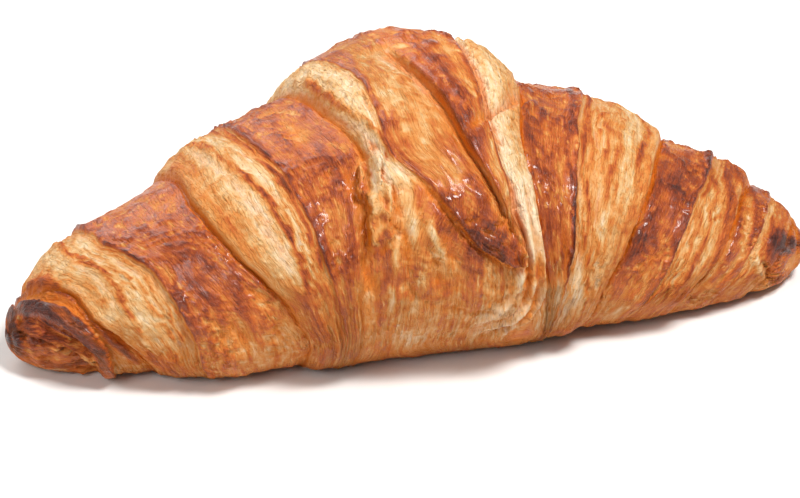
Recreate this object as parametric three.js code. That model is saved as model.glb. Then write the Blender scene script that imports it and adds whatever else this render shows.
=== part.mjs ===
// Butter croissant: a rolled triangle of laminated dough, baked into one solid body.
// Millimetres, +Z up. It stands on its flat base at z = 0, with the middle of its box on the Z axis.
//
// The body is a spindle with a rounded section. Wraps of dough lie over it, each one covering less of
// its length than the wrap beneath, so the surface steps down from the middle to both tips. A wrap
// keeps its full thickness up to its lip and thins out to nothing at its foot.
//
// Every length along the roll is measured from its crown, towards the right tip. Every angle round
// the roll is in degrees from its top: positive at the front (-Y), negative at the back (+Y).

import * as THREE from 'three';

// Driving dimensions.
const LEFT_TIP = -79;
const RIGHT_TIP = 86;
const DOME_LENGTH = 13; // length over which each tip rounds off to a point
const SECTION_POWER = 2.15; // 2 would make the section an ellipse, more makes it squarer
const RISE = 0.76; // height of the spindle above its middle line, as a share of its half width
const TOP_SHARE = 0.88; // how much of a wrap's thickness shows on top, where it has settled
const SAG = 1.22; // depth below the middle line, as a share of its height over the base
const BASE_ROUND = 2; // how softly the sides turn under into the flat base
const ARC_PER_DEGREE = 0.55; // length on the surface of one degree round the roll
const CORNER = 3; // rounding of the corners of the outermost wrap's tongue

const RINGS = 106; // sections along the roll
const SIDES = 40; // points round each section
const TIP_CROWDING = 0.35; // how far the sections crowd towards the tips

const CRUST_COLOUR = 0xb8692c;

// Half width, height of the middle line and sideways place of the spindle, as [length, value] pairs.
const HALF_WIDTH = [
  [-79, 8.5], [-69, 11], [-61, 12.5], [-53, 14.2], [-38, 18.6], [-28, 20], [-15, 20.5], [5, 22],
  [15, 21.7], [30, 19.4], [46, 18.2], [53, 17], [61, 14.5], [69, 12.7], [76, 11], [86, 9],
];
const MIDDLE_HEIGHT = [
  [-79, 6.2], [-69, 8.2], [-53, 12.2], [-38, 15.8], [-28, 17.4], [-18, 20], [-8, 24], [5, 26.5],
  [15, 24.5], [30, 19], [46, 15.8], [61, 11.8], [76, 8.3], [86, 6.8],
];
const MIDDLE_SIDEWAYS = [
  [-79, 5.5], [-60, 6], [-40, 7], [-20, 9], [0, 10.5], [20, 10], [40, 9], [60, 6.5], [86, 6],
];

// The wraps from the outermost in. Lips and feet are [angle, length] pairs, left and right of the
// crown. Only the outermost has an end: its tongue stops at the front, at the angles given.
const WRAPS = [
  {
    thickness: 4.5,
    lipEnd: 86,
    footEnd: 104,
    leftLip: [[-150, -19], [-80, -15], [-20, -11], [3, -6.5], [33, -4], [54, 1], [70, 6], [86, 15]],
    leftFoot: [[-150, -27], [-80, -23], [-26, -17.3], [11, -13.2], [39, -10], [60, -11], [90, 2]],
    rightLip: [[-150, 18], [-80, 14], [-7, 11.5], [17, 12], [35, 13.8], [59, 16.5], [86, 19]],
    rightFoot: [[-150, 32], [-80, 29], [-8, 26.4], [9, 25], [24, 22.3], [57, 22.2], [110, 24]],
  },
  {
    thickness: 4.5,
    leftLip: [[-150, -42], [-80, -36], [-35, -31], [-8, -29], [17, -25], [39, -22], [74, -18.5], [150, -18]],
    leftFoot: [[-150, -52], [-80, -47], [-19, -43], [22, -40.5], [52, -35], [74, -29], [89, -25.7], [150, -25]],
    rightLip: [[-150, 50], [-80, 45], [-20, 41], [11, 36], [39, 31.8], [60, 30], [85, 27.7], [150, 27]],
    rightFoot: [[-150, 64], [-80, 60], [-10, 56], [20, 51], [48, 46], [74, 41], [104, 36], [150, 35]],
  },
  {
    thickness: 4,
    leftLip: [[-150, -66], [-80, -63], [-8, -60], [15, -57], [39, -51.5], [67, -47], [110, -43], [150, -42]],
    leftFoot: [[-150, -76], [-80, -75], [11, -70.7], [30, -66.5], [59, -63.2], [85, -58], [108, -54], [150, -52]],
    rightLip: [[-150, 74], [-80, 71], [-10, 66], [11, 63], [30, 59], [56, 54], [85, 49], [150, 44]],
    rightFoot: [[-150, 81], [-80, 79], [-10, 74], [20, 70], [50, 66], [85, 60], [110, 55], [150, 54]],
  },
  {
    thickness: 2.5,
    leftLip: [[-150, -79], [-80, -78], [17, -75.7], [45, -72], [67, -68], [89, -63], [118, -60], [150, -59]],
    leftFoot: [[-150, -81], [-80, -80.5], [17, -78.5], [45, -76.5], [67, -73.5], [89, -68.5], [150, -63]],
    rightLip: [[-150, 84], [-80, 82], [-10, 78], [20, 76], [50, 72], [85, 67], [110, 63], [150, 62]],
    rightFoot: [[-150, 88], [-80, 87], [-10, 84], [20, 82], [50, 80], [85, 76], [110, 73], [150, 72]],
  },
];

// Smooth curve through [x, y] knots: cubic pieces, each knot's slope a weighted mean of its neighbours'.
function curve(knots) {
  const steps = knots.slice(1).map(([x, y], i) => ({
    width: x - knots[i][0],
    slope: (y - knots[i][1]) / (x - knots[i][0]),
  }));
  const last = knots.length - 1;
  const slopes = knots.map((knot, i) => {
    if (i === 0) return steps[0].slope;
    if (i === last) return steps[last - 1].slope;
    const before = steps[i - 1];
    const after = steps[i];
    return (after.width * before.slope + before.width * after.slope) / (before.width + after.width);
  });
  return (value) => {
    const x = THREE.MathUtils.clamp(value, knots[0][0], knots[last][0]);
    const i = Math.min(last - 1, knots.findLastIndex((knot) => knot[0] <= x));
    const { width } = steps[i];
    const t = (x - knots[i][0]) / width;
    const [y0, y1] = [knots[i][1], knots[i + 1][1]];
    const start = (1 + 2 * t) * (1 - t) ** 2 * y0 + t * (1 - t) ** 2 * width * slopes[i];
    const end = t * t * (3 - 2 * t) * y1 + t * t * (t - 1) * width * slopes[i + 1];
    return start + end;
  };
}

// The lower of two values, with the corner between them rounded over the given width.
function roundedMin(a, b, width) {
  const h = THREE.MathUtils.clamp(0.5 + (0.5 * (b - a)) / width, 0, 1);
  return b * (1 - h) + a * h - width * h * (1 - h);
}

// How far inside an outline a place lies, in millimetres; negative is outside.
function outline(left, right, end) {
  const leftAt = curve(left);
  const rightAt = curve(right);
  return (length, angle) => {
    const across = roundedMin(length - leftAt(angle), rightAt(angle) - length, CORNER);
    return end === undefined ? across : roundedMin(across, (end - angle) * ARC_PER_DEGREE, CORNER);
  };
}

// Share of a wrap's thickness left between its lip (0) and its foot (1), along a puffed, rounded step.
function stepDown(x) {
  const t = THREE.MathUtils.clamp(x, 0, 1);
  return 1 - t ** 1.6 * (1 - 0.35 * Math.sin(Math.PI * t));
}

const halfWidth = curve(HALF_WIDTH);
const middleHeight = curve(MIDDLE_HEIGHT);
const middleSideways = curve(MIDDLE_SIDEWAYS);
const wraps = WRAPS.map((wrap) => ({
  thickness: wrap.thickness,
  lip: outline(wrap.leftLip, wrap.rightLip, wrap.lipEnd),
  foot: outline(wrap.leftFoot, wrap.rightFoot, wrap.footEnd),
}));

// Thickness of all the wraps that cover a place.
function doughOver(length, angle) {
  return wraps.reduce((sum, wrap) => {
    const lip = wrap.lip(length, angle);
    const foot = wrap.foot(length, angle);
    return sum + wrap.thickness * stepDown(-lip / Math.max(foot - lip, 1e-6));
  }, 0);
}

// Share of the full section left near a tip: a quarter circle over the dome's length.
function dome(length) {
  const fromTip = Math.min(length - LEFT_TIP, RIGHT_TIP - length) / DOME_LENGTH;
  return Math.sqrt(1 - (1 - THREE.MathUtils.clamp(fromTip, 0, 1)) ** 2);
}

// Place on the crust at a length along the roll and an angle round it.
function crustPoint(length, angle) {
  const turn = THREE.MathUtils.degToRad(angle);
  const [up, out] = [Math.cos(turn), Math.sin(turn)];
  const reach = (Math.abs(up) ** SECTION_POWER + Math.abs(out) ** SECTION_POWER) ** (-1 / SECTION_POWER);
  const dough = doughOver(length, angle);
  const wide = halfWidth(length) + dough;
  const middle = middleHeight(length);
  const tall = up > 0 ? RISE * halfWidth(length) + TOP_SHARE * dough : SAG * middle;
  const y = middleSideways(length) - wide * reach * out * dome(length);
  const z = middle + tall * reach * up * dome(length);
  const h = THREE.MathUtils.clamp(0.5 + (0.5 * z) / BASE_ROUND, 0, 1);
  return new THREE.Vector3(length, y, z * h + BASE_ROUND * h * (1 - h));
}

// Length of a ring, for t from 0 at the left tip to 1 at the right one.
function ringLength(t) {
  const crowded = (1 - Math.cos(Math.PI * t)) / 2;
  return THREE.MathUtils.lerp(LEFT_TIP, RIGHT_TIP, THREE.MathUtils.lerp(t, crowded, TIP_CROWDING));
}

// Closed skin of rings joined by triangles, with one point at each tip.
function crustGeometry() {
  const points = [crustPoint(LEFT_TIP, 0)];
  for (let ring = 1; ring < RINGS; ring += 1) {
    for (let side = 0; side < SIDES; side += 1) {
      points.push(crustPoint(ringLength(ring / RINGS), -180 + (360 * side) / SIDES));
    }
  }
  points.push(crustPoint(RIGHT_TIP, 0));

  const at = (ring, side) => 1 + (ring - 1) * SIDES + (side % SIDES);
  const triangles = [];
  for (let side = 0; side < SIDES; side += 1) {
    triangles.push(0, at(1, side + 1), at(1, side));
    triangles.push(points.length - 1, at(RINGS - 1, side), at(RINGS - 1, side + 1));
    for (let ring = 1; ring < RINGS - 1; ring += 1) {
      const [a, b] = [at(ring, side), at(ring, side + 1)];
      const [c, d] = [at(ring + 1, side), at(ring + 1, side + 1)];
      triangles.push(a, b, c, b, d, c);
    }
  }

  const geometry = new THREE.BufferGeometry().setFromPoints(points);
  geometry.setIndex(triangles);
  geometry.computeBoundingBox();
  const { min, max } = geometry.boundingBox;
  geometry.translate(-(min.x + max.x) / 2, -(min.y + max.y) / 2, -min.z);
  geometry.computeVertexNormals();
  return geometry;
}

const crust = new THREE.MeshStandardMaterial({ color: CRUST_COLOUR, roughness: 0.5, metalness: 0 });
const croissant = new THREE.Mesh(crustGeometry(), crust);
croissant.name = 'croissant';

const model = new THREE.Group();
model.add(croissant);

export default model;
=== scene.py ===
"""Butter croissant: the baked skin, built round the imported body.

Lengths along the roll run from its crown towards the right tip, in millimetres. Angles round the roll are
in degrees from its top, positive at the front. Meshes are made in millimetres and stored in metres.
"""

import logging
import math
from dataclasses import dataclass, field
from enum import Enum
from typing import Any

import bpy
import numpy as np
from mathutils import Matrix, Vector


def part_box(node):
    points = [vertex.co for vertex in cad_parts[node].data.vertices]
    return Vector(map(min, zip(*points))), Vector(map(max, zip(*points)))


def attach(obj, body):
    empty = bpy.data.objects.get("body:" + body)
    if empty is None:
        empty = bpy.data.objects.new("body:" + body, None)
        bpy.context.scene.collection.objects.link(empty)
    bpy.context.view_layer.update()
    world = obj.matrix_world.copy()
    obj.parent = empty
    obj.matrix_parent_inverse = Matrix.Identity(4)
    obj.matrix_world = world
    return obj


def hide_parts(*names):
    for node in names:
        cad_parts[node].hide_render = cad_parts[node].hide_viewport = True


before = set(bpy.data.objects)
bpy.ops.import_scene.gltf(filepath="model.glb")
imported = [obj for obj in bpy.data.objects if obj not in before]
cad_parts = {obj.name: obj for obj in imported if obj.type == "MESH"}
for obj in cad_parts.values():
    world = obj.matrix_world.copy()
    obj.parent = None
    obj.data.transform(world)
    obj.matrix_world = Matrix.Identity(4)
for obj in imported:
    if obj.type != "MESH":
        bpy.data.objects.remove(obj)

Array = np.ndarray
Knots = tuple[tuple[float, float], ...]
Terms = tuple[tuple[float, tuple[str, ...]], ...]

NODE = "croissant"
BODY = "root"

MM = 0.001
ARC_PER_DEGREE = 0.55  # surface length of one degree round the roll, in millimetres
FIRST_ANGLE = -150.0
LAST_ANGLE = 210.0
CENTRE = 6.0  # length that parts the left edges of the wraps from the right ones
LIP_CORNER = 3.0  # rounding of the tongue's corners, in millimetres
FOOT_CORNER = 14.0  # rounding of the corners where the tongue's slope ends

log = logging.getLogger("croissant")


# ---------------------------------------------------------------- numbers on arrays


def smoothstep(low: float, high: float, value: Array) -> Array:
    """Zero below `low`, one above `high`, and 3t^2 - 2t^3 between them."""
    t = np.clip((value - low) / (high - low), 0.0, 1.0)
    return t * t * (3.0 - 2.0 * t)


def bell(value: Array, width: float) -> Array:
    """A Gaussian bell of height one: exp(-(value / width)^2)."""
    return np.exp(-((value / width) ** 2))


def mix(a: Array, b: Array | float, share: Array) -> Array:
    """Straight line from `a` to `b` by `share`."""
    return a + (b - a) * share


def rounded_min(a: Array, b: Array, width: float) -> Array:
    """The lower of two values, with the corner between them rounded over `width`."""
    h = np.clip(0.5 + 0.5 * (b - a) / width, 0.0, 1.0)
    return b * (1.0 - h) + a * h - width * h * (1.0 - h)


def smooth_curve(knots: Knots, value: Array) -> Array:
    """Cubic Hermite curve through knots, each slope a weighted mean of the slopes beside it.

    Args:
        knots: (place, value) pairs in rising order of place.
        value: Places at which the curve is wanted; beyond the ends the curve stays level.

    Returns:
        The curve at each place.
    """
    xs, ys = np.array(knots, float).T
    slopes = np.gradient(ys, xs)
    x = np.clip(value, xs[0], xs[-1])
    i = np.clip(np.searchsorted(xs, x, side="right") - 1, 0, len(xs) - 2)
    width = xs[i + 1] - xs[i]
    t = (x - xs[i]) / width
    start = (1 + 2 * t) * (1 - t) ** 2 * ys[i] + t * (1 - t) ** 2 * width * slopes[i]
    end = t * t * (3 - 2 * t) * ys[i + 1] + t * t * (t - 1) * width * slopes[i + 1]
    return start + end


def blurred(values: Array, rows: float, columns: float) -> Array:
    """Gaussian blur of a field on the grid, closed round the roll and mirrored at the tips.

    Args:
        values: Field on the grid, rows along the roll and columns round it.
        rows: Standard deviation in rows.
        columns: Standard deviation in columns.

    Returns:
        The blurred field.
    """
    tall = np.concatenate([values, values[::-1]], axis=0)
    along = np.fft.fftfreq(tall.shape[0])[:, None]
    across = np.fft.rfftfreq(tall.shape[1])[None, :]
    fade = np.exp(-2.0 * math.pi**2 * ((along * rows) ** 2 + (across * columns) ** 2))
    return np.fft.irfft2(np.fft.rfft2(tall) * fade, s=tall.shape)[: len(values)]


class Noise:
    """Seeded gradient noise in space, about -1 to 1."""

    def __init__(self, seed: int) -> None:
        """Draws the lattice's order, its gradients and its scattered points.

        Args:
            seed: Number that the draws start from.
        """
        draw = np.random.default_rng(seed)
        self.order = draw.permutation(256)
        spots = draw.normal(size=(256, 3))
        self.gradients = spots / np.linalg.norm(spots, axis=1, keepdims=True)
        self.offsets = draw.random((256, 3))

    def cell(self, corner: Array) -> Array:
        """Number of each lattice corner: its three indices looked up one after another.

        Args:
            corner: Whole-numbered corners, with x, y and z on the last axis.

        Returns:
            A number from 0 to 255 for each corner.
        """
        order = self.order
        first = order[corner[..., 0] & 255]
        second = order[(first + corner[..., 1]) & 255]
        return order[(second + corner[..., 2]) & 255]

    def at(self, points: Array) -> Array:
        """Gradient noise: eight corner gradients blended by the fade 6t^5 - 15t^4 + 10t^3.

        Args:
            points: Places, with x, y and z on the last axis.

        Returns:
            Noise at each place.
        """
        base = np.floor(points).astype(np.int64)
        inside = points - base
        fade = inside**3 * (inside * (inside * 6 - 15) + 10)
        total = np.zeros(points.shape[:-1])
        for corner in np.ndindex(2, 2, 2):
            step = np.array(corner)
            slope = self.gradients[self.cell(base + step)]
            share = np.prod(np.where(step, fade, 1 - fade), axis=-1)
            total += share * np.sum(slope * (inside - step), axis=-1)
        return total * 1.6

    def layered(self, points: Array, octaves: int) -> Array:
        """Sum of octaves, each twice as fine and half as strong as the one before.

        Args:
            points: Places, with x, y and z on the last axis.
            octaves: How many octaves are added up.

        Returns:
            The sum at each place.
        """
        total = np.zeros(points.shape[:-1])
        for octave in range(octaves):
            total += 0.5**octave * self.at(points * 2.0**octave + 17.3 * octave)
        return total

    def bubbles(self, points: Array) -> tuple[Array, Array]:
        """Cellular noise: distances to the nearest and the second nearest of scattered points.

        Args:
            points: Places, with x, y and z on the last axis.

        Returns:
            Distance to the nearest point and distance to the next one.
        """
        base = np.floor(points).astype(np.int64)
        nearest = np.full(points.shape[:-1], 9.0)
        second = np.full(points.shape[:-1], 9.0)
        for corner in np.ndindex(3, 3, 3):
            cell = base + np.array(corner) - 1
            spot = cell + self.offsets[self.cell(cell)]
            distance = np.linalg.norm(points - spot, axis=-1)
            second = np.minimum(second, np.maximum(nearest, distance))
            nearest = np.minimum(nearest, distance)
        return nearest, second


def terraced(value: Array, sharp: float = 0.3) -> tuple[Array, Array]:
    """Turns a smooth field into level sheets with steep edges.

    Args:
        value: The field; each whole number becomes one sheet.
        sharp: Share of a sheet's span that its edge takes.

    Returns:
        The stepped field, and a mask that is one along the sheets' edges.
    """
    whole = np.floor(value)
    part = value - whole
    return whole + smoothstep(1.0 - sharp, 1.0, part), bell(part - 1.0 + sharp * 0.6, sharp * 0.45)


def stacked(*parts: Array | float) -> Array:
    """Puts three fields together as points."""
    return np.stack(np.broadcast_arrays(*parts), axis=-1)


# ---------------------------------------------------------------- the roll


class Side(Enum):
    """A side of the crown."""

    LEFT = -1
    RIGHT = 1


@dataclass(frozen=True)
class Line:
    """A line laid on the roll, such as a wrap's lip.

    Attributes:
        knots: (angle, length) pairs, from the back round to the front.
        ragged: How far the line strays, in millimetres.
        seed: Which way it strays.
    """

    knots: Knots
    ragged: float = 0.55
    seed: int = 0

    def at(self, angle: Array) -> Array:
        """Length of the line at each angle: a smooth curve, closed under the base and frayed by noise.

        Args:
            angle: Angles round the roll.

        Returns:
            Length along the roll at each angle.
        """
        last = self.knots[-1]
        knots = (*self.knots, *(((150.0, last[1]),) if last[0] < 150 else ()), (210.0, self.knots[0][1]))
        noise = Noise(100 + self.seed)
        fine = noise.at(stacked(angle / 17.0, self.seed * 3.7, 0.0))
        fine = fine + 0.42 * noise.at(stacked(angle / 5.5, self.seed * 1.9, 4.0))
        fine = fine + 0.2 * noise.at(stacked(angle / 2.2, self.seed * 0.9, 8.0))
        shown = smoothstep(0.0, 30.0, 180.0 - np.abs(angle - 30.0))
        return smooth_curve(knots, angle) + self.ragged * fine * shown


@dataclass(frozen=True)
class Edge:
    """One edge of a wrap: its lip, where it is still whole, and its foot, where it meets the next wrap.

    Attributes:
        lip: Line where the dough begins to thin out.
        foot: Line where it ends.
        pale: How pale its belly has stayed, from 0 to 1.
        belly: Middle of the belly, as a share of the way from lip to foot.
        plump: Half the belly's size, as the same share.
        sheets: How clearly the sheets of dough show, from 0 to 1.
        melted: How much of it has melted into the flank low at the front, from 0 to 1.
    """

    lip: Line
    foot: Line
    pale: float
    belly: float
    plump: float
    sheets: float
    melted: float = 0.0


@dataclass(frozen=True)
class Wrap:
    """One wrap of dough, with an edge on each side of the crown.

    Attributes:
        thickness: Thickness of the dough, in millimetres.
        left: Its left edge.
        right: Its right edge.
        lip_end: Angle at which its tongue stops, if it has one.
        foot_end: Angle at which the tongue's slope ends.
    """

    thickness: float
    left: Edge
    right: Edge
    lip_end: float | None = None
    foot_end: float | None = None

    def within_lip(self, length: Array, angle: Array) -> Array:
        """How far inside its lip a place lies, in millimetres; negative is past the lip."""
        return outline(length, angle, (self.left.lip, self.right.lip), self.lip_end, LIP_CORNER)

    def within_foot(self, length: Array, angle: Array) -> Array:
        """How far inside its foot a place lies, in millimetres; negative is past the foot."""
        return outline(length, angle, (self.left.foot, self.right.foot), self.foot_end, FOOT_CORNER)


def outline(length: Array, angle: Array, sides: tuple[Line, Line], end: float | None, corner: float) -> Array:
    """How far inside an outline a place lies: the least of its distances from the outline's sides.

    Args:
        length: Lengths along the roll.
        angle: Angles round the roll.
        sides: The outline's left and right line.
        end: Angle at which the outline stops, or None where it runs all the way round.
        corner: Rounding of the corners at its end, in millimetres.

    Returns:
        Distance at each place, in millimetres; negative is outside.
    """
    left, right = (side.at(angle[0])[None, :] for side in sides)
    across = rounded_min(length - left, right - length, LIP_CORNER)
    if end is None:
        return across
    return rounded_min(across, (end - angle) * ARC_PER_DEGREE, corner)


def edge(
    lip: Knots, foot: Knots, seed: int, pale: float, belly: float, plump: float, sheets: float, melted: float = 0.0
) -> Edge:
    """An edge whose lip and foot stray each in their own way."""
    return Edge(Line(lip, 0.55, seed), Line(foot, 0.45, seed + 1), pale, belly, plump, sheets, melted)


WRAPS: tuple[Wrap, ...] = (
    Wrap(
        4.5,
        edge(
            ((-150, -19), (-80, -15), (-20, -10.5), (3, -7), (20, -6), (38, -5.1), (53, 0.5), (66, 4.6),
             (75, 8), (82, 13), (92, 14), (110, 8), (130, 2), (150, -2)),
            ((-150, -27), (-80, -23), (-26, -17.3), (-2, -14.3), (14, -12.4), (38, -9.6), (52, -10.6),
             (75, -12), (150, -13)),
            1,
            0.95, 0.5, 0.42, 0.5,
        ),
        edge(
            ((-150, 20), (-80, 17), (-7, 14.9), (17, 14.7), (35, 14.4), (59, 16), (86, 18.5), (110, 20), (150, 21)),
            ((-150, 32), (-80, 29), (-8, 26.4), (9, 25), (24, 22.3), (57, 22.2), (110, 24)),
            3,
            1.0, 0.5, 0.5, 0.8,
        ),
        82.0,
        118.0,
    ),
    Wrap(
        4.5,
        edge(
            ((-150, -42), (-80, -36), (-35, -31), (-8, -29), (17, -25), (39, -22), (74, -18.5), (150, -18)),
            ((-150, -52), (-80, -47), (-19, -43), (22, -40.5), (52, -35), (74, -29), (89, -25.7), (150, -25)),
            5,
            0.9, 0.56, 0.26, 1.0, 0.55,
        ),
        edge(
            ((-150, 50), (-80, 45), (-20, 41), (11, 36), (39, 31.8), (60, 30), (85, 27.7), (150, 27)),
            ((-150, 64), (-80, 60), (-10, 56), (20, 51), (48, 46), (74, 41), (104, 36), (150, 35)),
            7,
            0.7, 0.66, 0.2, 1.0,
        ),
    ),
    Wrap(
        4.0,
        edge(
            ((-150, -66), (-80, -63), (-8, -60), (15, -57), (39, -51.5), (67, -47), (110, -43), (150, -42)),
            ((-150, -76), (-80, -75), (11, -70.7), (30, -66.5), (59, -63.2), (85, -58), (108, -54), (150, -52)),
            9,
            0.8, 0.6, 0.28, 0.9,
        ),
        edge(
            ((-150, 74), (-80, 71), (-10, 66), (11, 63), (30, 59), (56, 54), (85, 49), (150, 44)),
            ((-150, 81), (-80, 79), (-10, 74), (20, 70), (50, 66), (85, 60), (110, 55), (150, 54)),
            11,
            0.2, 0.5, 0.3, 1.0,
        ),
    ),
    Wrap(
        2.5,
        edge(
            ((-150, -79), (-80, -78), (17, -75.7), (45, -72), (67, -68), (89, -63), (118, -60), (150, -59)),
            ((-150, -81), (-80, -80.5), (17, -78.5), (45, -76.5), (67, -73.5), (89, -68.5), (150, -63)),
            13,
            0.1, 0.5, 0.3, 0.8,
        ),
        edge(
            ((-150, 84), (-80, 82), (-10, 78), (20, 76), (50, 72), (85, 67), (110, 63), (150, 62)),
            ((-150, 88), (-80, 87), (-10, 84), (20, 82), (50, 80), (85, 76), (110, 73), (150, 72)),
            15,
            0.15, 0.5, 0.3, 0.8,
        ),
    ),
)

# The fold down the middle of the tongue, where its right half rises into a ridge.
TONGUE_FOLD = Line(
    ((-150, -6), (-40, -2), (-5, 1), (11, 4.3), (39, 9.3), (61, 14.2), (84, 17), (105, 15.5), (130, 11), (150, 9)),
    ragged=0.4,
    seed=31,
)

# The strap wound round the left tip: its edge towards the tip and its edge towards the middle.
STRAP_INNER = Line(
    ((-150, -80), (-60, -78.5), (0, -77), (19, -75.8), (36, -72.9), (54, -69.5), (79, -65.1), (125, -61.8),
     (150, -61.5)),
    ragged=0.3,
    seed=41,
)
STRAP_OUTER = Line(
    ((-150, -78), (-60, -77), (-10, -75.6), (10, -74.3), (22, -71.6), (35, -68.9), (62, -64.2), (122, -59.5),
     (150, -59)),
    ragged=0.3,
    seed=43,
)


@dataclass(frozen=True)
class Spindle:
    """The rolled body under the wraps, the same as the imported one. Sizes are in millimetres."""

    left_tip: float = -79.0
    right_tip: float = 86.0
    dome_length: float = 13.0
    section_power: float = 2.15
    rise: float = 0.76
    top_share: float = 0.88
    sag: float = 1.22
    base_round: float = 2.0
    half_width: Knots = (
        (-79, 8.5), (-69, 11), (-61, 12.5), (-53, 14.2), (-38, 18.6), (-28, 20), (-15, 20.5), (5, 22),
        (15, 21.7), (30, 19.4), (46, 18.2), (53, 17), (61, 14.5), (69, 12.7), (76, 11), (86, 9),
    )  # fmt: skip
    middle_height: Knots = (
        (-79, 6.2), (-69, 8.2), (-53, 12.2), (-38, 15.8), (-28, 17.4), (-18, 20), (-8, 24), (5, 26.5),
        (15, 24.5), (30, 19), (46, 15.8), (61, 11.8), (76, 8.3), (86, 6.8),
    )  # fmt: skip
    middle_sideways: Knots = (
        (-79, 5.5), (-60, 6), (-40, 7), (-20, 9), (0, 10.5), (20, 10), (40, 9), (60, 6.5), (86, 6),
    )  # fmt: skip

    def dome(self, length: Array) -> Array:
        """Share of the full section left near a tip: a quarter circle over the dome's length."""
        nearer = np.minimum(length - self.left_tip, self.right_tip - length) / self.dome_length
        return np.sqrt(1.0 - (1.0 - np.clip(nearer, 0.0, 1.0)) ** 2)

    def place(self, length: Array, angle: Array, dough: Array, shift: Array | float = 0.0) -> Array:
        """Point on the skin: a superellipse section about the middle line, flattened at the base.

        Args:
            length: Length along the roll.
            angle: Angle round the roll.
            dough: Thickness of dough over the spindle.
            shift: How far the point is pushed along the roll.

        Returns:
            Points in millimetres, with z = 0 on the base.
        """
        turn = np.radians(angle)
        up, out = np.cos(turn), np.sin(turn)
        power = self.section_power
        reach = (np.abs(up) ** power + np.abs(out) ** power) ** (-1.0 / power)
        half = smooth_curve(self.half_width, length)
        middle = smooth_curve(self.middle_height, length)
        tall = np.where(up > 0, self.rise * half + self.top_share * dough, self.sag * middle)
        dome = self.dome(length)
        y = smooth_curve(self.middle_sideways, length) - (half + dough) * reach * out * dome
        z = middle + tall * reach * up * dome
        h = np.clip(0.5 + 0.5 * z / self.base_round, 0.0, 1.0)
        return stacked(length + shift * dome, y, z * h + self.base_round * h * (1.0 - h))


def step_down(x: Array) -> Array:
    """Share of a wrap's thickness left between lip (0) and foot (1), along a puffed step."""
    t = np.clip(x, 0.0, 1.0)
    return 1.0 - t**1.6 * (1.0 - 0.35 * np.sin(math.pi * t))


@dataclass(frozen=True)
class Patch:
    """An oval patch on the roll that is baked more or less than its surroundings.

    Attributes:
        length: Middle of the patch along the roll.
        angle: Middle of the patch round the roll, in degrees.
        half_length: Half its size along the roll.
        half_arc: Half its size round the roll, in millimetres.
        lean: How far it leans along the roll for each millimetre round it.
        amount: How much more (or less) it is baked.
    """

    length: float
    angle: float
    half_length: float
    half_arc: float
    lean: float
    amount: float

    def on(self, length: Array, angle: Array) -> Array:
        """Share of the patch at each place: exp(-r^3), with r its distance in half sizes of the oval.

        Args:
            length: Lengths along the roll.
            angle: Angles round the roll.

        Returns:
            One in the patch's middle, falling to nothing outside it.
        """
        arc = (angle - self.angle) * ARC_PER_DEGREE
        along = length - self.length - self.lean * arc
        return np.exp(-(((along / self.half_length) ** 2 + (arc / self.half_arc) ** 2) ** 1.5))


@dataclass(frozen=True)
class Band:
    """A thin fold or sheet that follows a line on the roll between two angles.

    Attributes:
        knots: (angle, length) pairs of its middle.
        width: Half its width, in millimetres.
        baked: How much more (or less) it is baked.
        raised: How far it stands proud, in millimetres; negative is a groove.
        glow: How strongly it is tinted with painted orange glow, standing in for warm light in its shade.
    """

    knots: Knots
    width: float
    baked: float
    raised: float
    glow: float = 0.0

    def on(self, length: Array, angle: Array, seed: int) -> Array:
        """Share of the band at each place: a bell across its middle line, fading out at both ends.

        Args:
            length: Lengths along the roll.
            angle: Angles round the roll.
            seed: Which way the band strays, and where it is strong or weak.

        Returns:
            About one along its middle, falling to nothing beside it.
        """
        middle = Line(self.knots, 0.5, seed).at(angle[0])[None, :]
        first, last = self.knots[0][0], self.knots[-1][0]
        shown = smoothstep(first, first + 10.0, angle) * (1.0 - smoothstep(last - 10.0, last, angle))
        uneven = 1.0 + 0.5 * Noise(60 + seed).at(stacked(angle / 9.0, 0.5, 0.5))
        return bell(length - middle, self.width) * shown * uneven


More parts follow.
